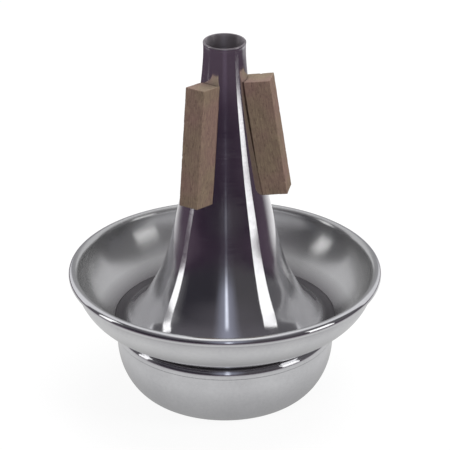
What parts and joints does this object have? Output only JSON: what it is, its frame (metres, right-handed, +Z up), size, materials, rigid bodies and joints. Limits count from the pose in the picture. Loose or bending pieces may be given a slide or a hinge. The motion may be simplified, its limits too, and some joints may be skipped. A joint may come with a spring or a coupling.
{
  "type": "cup mute",
  "caption": "Metal cup mute for a piccolo trumpet: a flared cone with cork strips, rising from an open cup with a rolled rim, closed below by a round bowl.",
  "frame": {"origin": "centre of the flat base, on the surface that the mute stands on", "axes": "+Z up along the axis of the cone, from the base to the throat; -Y towards the viewer of the picture, +X to the right"},
  "size_m": [0.102, 0.102, 0.1232],
  "materials": {
    "spun_aluminium": "spun and polished bright, with fine turning lines",
    "cork": "natural sheet cork, cut and sanded, matt"
  },
  "bodies": {
    "root": {"cone_shell": "spun_aluminium", "cup_shell": "spun_aluminium", "bottom_bowl": "spun_aluminium", "cork_strip_left": "cork", "cork_strip_right": "cork", "cork_strip_back": "cork"}
  },
  "joints": []
}
